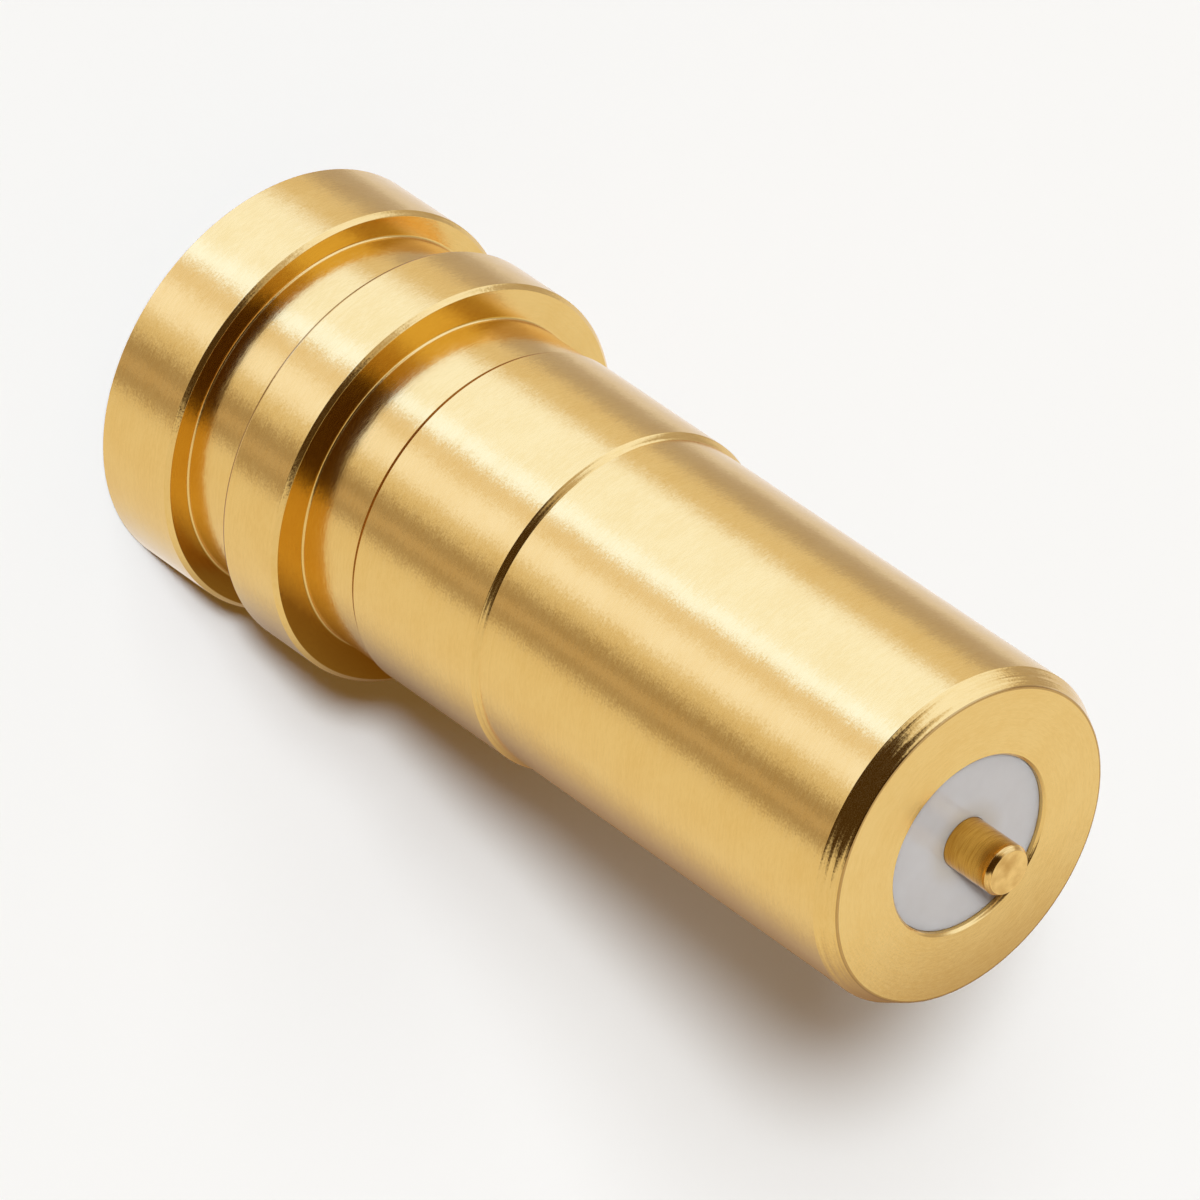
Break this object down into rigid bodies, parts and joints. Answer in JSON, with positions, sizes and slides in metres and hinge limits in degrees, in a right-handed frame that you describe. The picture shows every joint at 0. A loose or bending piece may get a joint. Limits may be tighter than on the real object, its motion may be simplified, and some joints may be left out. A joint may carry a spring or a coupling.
{
  "type": "fuzz button rf connector",
  "caption": "Gold-plated coaxial board connector with a white insulator, a sprung centre pin on a fuzz button and a grooved rear flange.",
  "frame": {"origin": "centre of the flange's rear face, which the connector stands on", "axes": "+Z along the connector's axis, from the rear flange towards the sprung pin; X and Y are free, because it is round"},
  "size_m": [0.0078, 0.0078, 0.0195],
  "materials": {
    "gold_plate": "fine-turned, gold plated, satin",
    "contact_gold": "turned, gold plated, polished",
    "wire_gold": "fine gold-plated wire",
    "ptfe": "white, translucent, waxy gloss",
    "bead_plastic": "amber, translucent"
  },
  "bodies": {
    "housing": {"outer_shell": "gold_plate", "front_insulator": "ptfe", "centre_bead": "bead_plastic", "rear_insulator": "ptfe", "retaining_bush": "gold_plate", "centre_rod": "contact_gold", "rear_fuzz_button": "wire_gold", "front_fuzz_button": "wire_gold"},
    "pin": {"contact_pin": "contact_gold"}
  },
  "joints": [
    {"name": "pin_slide", "type": "slide", "parent": "housing", "child": "pin", "axis": [0, 0, 1], "range_m": [-0.0005, 0], "stiffness_N_per_m": 1500, "springref_m": 0.0002, "deforming": ["front_fuzz_button"]}
  ]
}
